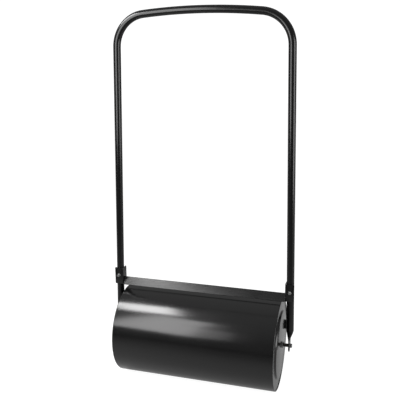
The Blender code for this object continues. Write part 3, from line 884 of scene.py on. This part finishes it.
def bolt_data(name, size, height, length, plain):
    """A set screw of a size, with its head's height, its length and the plain part of that length."""
    shank, _, flats, pitch = size
    tip = [circle(shank - 0.0006, -length), circle(shank - 0.0003, -length + 0.0004)]
    thread = thread_rings(shank, THREAD_DEPTH * pitch, pitch, -length + 0.0006, -plain)
    neck = [circle(shank, -plain + 0.0002), circle(shank, 0.0)]
    return skin(name, tip + thread + neck + hex_head(flats, height))


def nut_data(name, size, height):
    """A nut with both faces chamfered and a countersunk bore."""
    _, bore, flats, _ = size
    rings = []
    for part, reach in ((0.0, 0.955), (0.06, 1.02), (0.14, 1.3), (0.86, 1.3), (0.94, 1.02), (1.0, 0.955)):
        rings.append(turned_hexagon(flats, height * part, flats / 2 * reach))
    rings += [circle(bore + 0.0005, height), circle(bore, height - 0.0005)]
    rings += [circle(bore, 0.0005), circle(bore + 0.0005, 0.0)]
    return skin(name, rings, closed=True)


def washer_data(name, radius, bore, thickness):
    """A stamped washer: one face rolled over, the other with a slight burr edge."""
    corners = [(bore, 0.0, 0.0002), (radius, 0.0, 0.0002)]
    corners += [(radius, thickness, 0.0005), (bore, thickness, 0.0004)]
    return lathe(name, rounded(corners, 3), ROUND, Matrix.Identity(4))


def zinc_piece(node, data, seat, way):
    """Places a fastener whose local +Z points along a direction, for the CAD node of its name."""
    piece(f"{node}_fine", data, "handle_frame", "zinc_plate", ZINC, node, matrix=facing(way, seat))


def make_fasteners():
    """The bolt, nut and washers through each bracket, then what is on each end of the axle."""
    front, back = Vector((0, -1, 0)), Vector((0, 1, 0))
    for name, side in SIDES.items():
        x, z = side * leg_x(BRACKET_BOLT_HEIGHT), AXLE_HEIGHT + BRACKET_BOLT_HEIGHT
        low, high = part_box(f"bracket_front_washer_{name}")
        data = washer_data("washer", (high.x - low.x) / 2, M6[1], high.y - low.y)
        zinc_piece(f"bracket_front_washer_{name}", data, (x, high.y, z), front)
        head_seat = low.y - GAP
        low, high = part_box(f"bracket_rear_washer_{name}")
        data = washer_data("washer", (high.x - low.x) / 2, M6[1], high.y - low.y)
        zinc_piece(f"bracket_rear_washer_{name}", data, (x, low.y, z), back)
        low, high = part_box(f"bracket_nut_{name}")
        zinc_piece(f"bracket_nut_{name}", nut_data("nut", M6, high.y - low.y), (x, low.y, z), back)
        low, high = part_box(f"bracket_bolt_{name}")
        length = high.y - head_seat
        data = bolt_data("bolt", M6, head_seat - low.y, length, length - BRACKET_THREAD)
        zinc_piece(f"bracket_bolt_{name}", data, (x, head_seat, z), front)
        make_axle_fasteners(name, side)


def make_axle_fasteners(name, side):
    """The bolt and washer outside a leg, and the thrust washer and split pin inside it."""
    out = Vector((side, 0, 0))
    low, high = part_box(f"axle_end_washer_{name}")
    inner = min(abs(low.x), abs(high.x))
    radius, sheet = (high.y - low.y) / 2, high.x - low.x
    data = washer_data("washer", radius, M8[1], sheet)
    zinc_piece(f"axle_end_washer_{name}", data, AXLE + out * inner, out)
    seat = inner + sheet + GAP
    low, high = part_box(f"axle_bolt_{name}")
    top, tip = max(abs(low.x), abs(high.x)), min(abs(low.x), abs(high.x))
    data = bolt_data("bolt", M8, top - seat, seat - tip, AXLE_PLAIN)
    data.transform(Matrix.Rotation(AXLE_BOLT_TURN, 4, "Z"))
    zinc_piece(f"axle_bolt_{name}", data, AXLE + out * seat, out)
    low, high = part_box(f"thrust_washer_{name}")
    inner = min(abs(low.x), abs(high.x))
    data = washer_data("washer", (high.y - low.y) / 2, AXLE_CLEARANCE, high.x - low.x)
    zinc_piece(f"thrust_washer_{name}", data, AXLE + out * inner, out)
    make_split_pin(name)


def make_split_pin(name, wire=0.0015, eye=0.0035, tail=0.0050, bend=0.0020):
    """One wire through the axle: an eye at the rear, and a tail bent over at the front."""
    low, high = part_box(f"split_pin_{name}")
    x = (low.x + high.x) / 2
    front, middle = low.y + wire, high.y - wire - eye
    path = [Vector((x, front, -tail)), Vector((x, front, -0.6 * tail))]
    for i in range(7):
        angle = math.pi / 2 * i / 6
        path.append(Vector((x, front + bend * (1 - math.cos(angle)), bend * (math.sin(angle) - 1))))
    for i in range(33):
        angle = math.radians(-90 + 300 * i / 32)
        path.append(Vector((x, middle + eye * math.sin(angle), eye * math.cos(angle))))
    path = [AXLE + point for point in path]
    data = skin("split_pin", sweep_rings(path, [wire] * len(path), 16))
    piece(f"split_pin_{name}_fine", data, "handle_frame", "zinc_plate", ZINC, f"split_pin_{name}")


def make_axle(chamfer=0.0005):
    """The rod, with a chamfered bolt hole in each end and a cross hole for each split pin."""
    low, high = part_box("axle_rod")
    radius, end = (high.y - low.y) / 2, high.x
    bore, floor = M8[1], end - TAPPED_DEPTH
    half = [(0.0, floor), (bore, floor), (bore, end - chamfer), (bore + chamfer, end)]
    half += [(radius - chamfer, end), (radius, end - chamfer)]
    outline = half + [(reach, -height) for reach, height in reversed(half)]
    data = lathe("axle_rod_fine", outline, ROUND, Matrix.Translation(AXLE) @ ALONG_X)
    drills = []
    for name in SIDES:
        low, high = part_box(f"split_pin_{name}")
        x = (low.x + high.x) / 2
        drills.append((PIN_HOLE, (x, -2 * radius, AXLE_HEIGHT), (x, 2 * radius, AXLE_HEIGHT)))
    piece("axle_rod_fine", bored(data, drills), "handle_frame", "axle_steel", STEEL, "axle_rod")


# ---------------------------------------------------------------- making the stage


def emission(tree, strength):
    node = tree.nodes.new("ShaderNodeEmission")
    node.inputs["Strength"].default_value = strength
    return node


def white_when_seen(tree, strength, others):
    """An even glow where the camera looks straight at it, and another shader for all other rays."""
    path = tree.nodes.new("ShaderNodeLightPath")
    mixed = tree.nodes.new("ShaderNodeMixShader")
    tree.links.new(path.outputs["Is Camera Ray"], mixed.inputs["Fac"])
    tree.links.new(others.outputs[0], mixed.inputs[1])
    tree.links.new(emission(tree, strength).outputs[0], mixed.inputs[2])
    return mixed


def paper_material():
    """White paper that keeps a faint shadow, and a painted glow for reflections, dim in front of the drum."""
    paper = bpy.data.materials.new("white_paper")
    paper.use_nodes = True
    tree = paper.node_tree
    tree.nodes.clear()
    output = tree.nodes.new("ShaderNodeOutputMaterial")
    matt = tree.nodes.new("ShaderNodeBsdfDiffuse")
    matt.inputs["Color"].default_value = FLOOR_ALBEDO
    place = tree.nodes.new("ShaderNodeTexCoord")
    axes = tree.nodes.new("ShaderNodeSeparateXYZ")
    tree.links.new(place.outputs["Object"], axes.inputs[0])
    # Painted light: a glow seen only in reflections, faint in front of the drum and full from just before it
    # backwards.
    painted_floor_glow = emission(tree, 0.0)
    tree.links.new(ranged(tree, axes.outputs["Y"], FLOOR_FALL), painted_floor_glow.inputs["Strength"])
    lit = tree.nodes.new("ShaderNodeAddShader")
    tree.links.new(matt.outputs[0], lit.inputs[0])
    tree.links.new(white_when_seen(tree, FLOOR_GLOW, painted_floor_glow).outputs[0], lit.inputs[1])
    tree.links.new(lit.outputs[0], output.inputs["Surface"])
    return paper


def make_floor():
    """A wide pale sheet under the roller."""
    mesh = bmesh.new()
    bmesh.ops.create_circle(mesh, cap_ends=True, segments=96, radius=FLOOR_RADIUS)
    data = bpy.data.meshes.new("floor")
    mesh.to_mesh(data)
    mesh.free()
    floor = bpy.data.objects.new("floor", data)
    bpy.context.scene.collection.objects.link(floor)
    data.materials.append(paper_material())


def make_world():
    """A white surround as the camera sees it. For light and reflections it is a dim room, darkest
    in front and brightest above."""
    world = bpy.data.worlds.new("studio")
    bpy.context.scene.world = world
    world.use_nodes = True
    tree = world.node_tree
    tree.nodes.clear()
    output = tree.nodes.new("ShaderNodeOutputWorld")
    direction = tree.nodes.new("ShaderNodeTexCoord")
    slope = tree.nodes.new("ShaderNodeVectorMath")
    slope.operation = "DOT_PRODUCT"
    slope.inputs[1].default_value = ROOM_BRIGHTENS
    tree.links.new(direction.outputs["Generated"], slope.inputs[0])
    room = emission(tree, 1.0)
    tree.links.new(ranged(tree, slope.outputs["Value"], ROOM_FALL), room.inputs["Strength"])
    seen = white_when_seen(tree, SURROUND_WHITE, room)
    tree.links.new(seen.outputs[0], output.inputs["Surface"])


def make_soft_box(name, place, aim, width, height, radiance):
    """A rectangular soft box of an even radiance. The camera doesn't see the box itself."""
    data = bpy.data.lights.new(name, "AREA")
    data.shape = "RECTANGLE"
    data.size = width
    data.size_y = height
    data.energy = radiance * math.pi * width * height
    lamp = bpy.data.objects.new(name, data)
    bpy.context.scene.collection.objects.link(lamp)
    lamp.location = place
    lamp.rotation_euler = (Vector(aim) - Vector(place)).to_track_quat("-Z", "Y").to_euler()
    lamp.visible_camera = False


def make_camera():
    data = bpy.data.cameras.new("camera")
    data.sensor_width = CAMERA_SENSOR
    data.lens = CAMERA_LENS
    data.clip_end = CAMERA_REACH
    camera = bpy.data.objects.new("camera", data)
    bpy.context.scene.collection.objects.link(camera)
    turn = Matrix.Rotation(CAMERA_YAW, 4, "Z") @ Matrix.Rotation(math.pi / 2 - CAMERA_PITCH, 4, "X")
    camera.matrix_world = Matrix.Translation(CAMERA_PLACE) @ turn @ Matrix.Rotation(CAMERA_ROLL, 4, "Z")
    bpy.context.scene.camera = camera


# ---------------------------------------------------------------- assembly


def main():
    make_camera()
    make_drum_shell()
    make_drum_seam()
    make_drum_ends()
    make_centre_tube()
    make_filler()
    make_handle()
    make_legs()
    for name, side in SIDES.items():
        make_bracket(name, side)
    make_scraper_bar()
    make_fasteners()
    make_axle()
    make_floor()
    make_world()
    for box in SOFT_BOXES:
        make_soft_box(*box)
    bpy.context.scene.view_settings.view_transform = "Standard"


main()
bpy.context.view_layer.update()
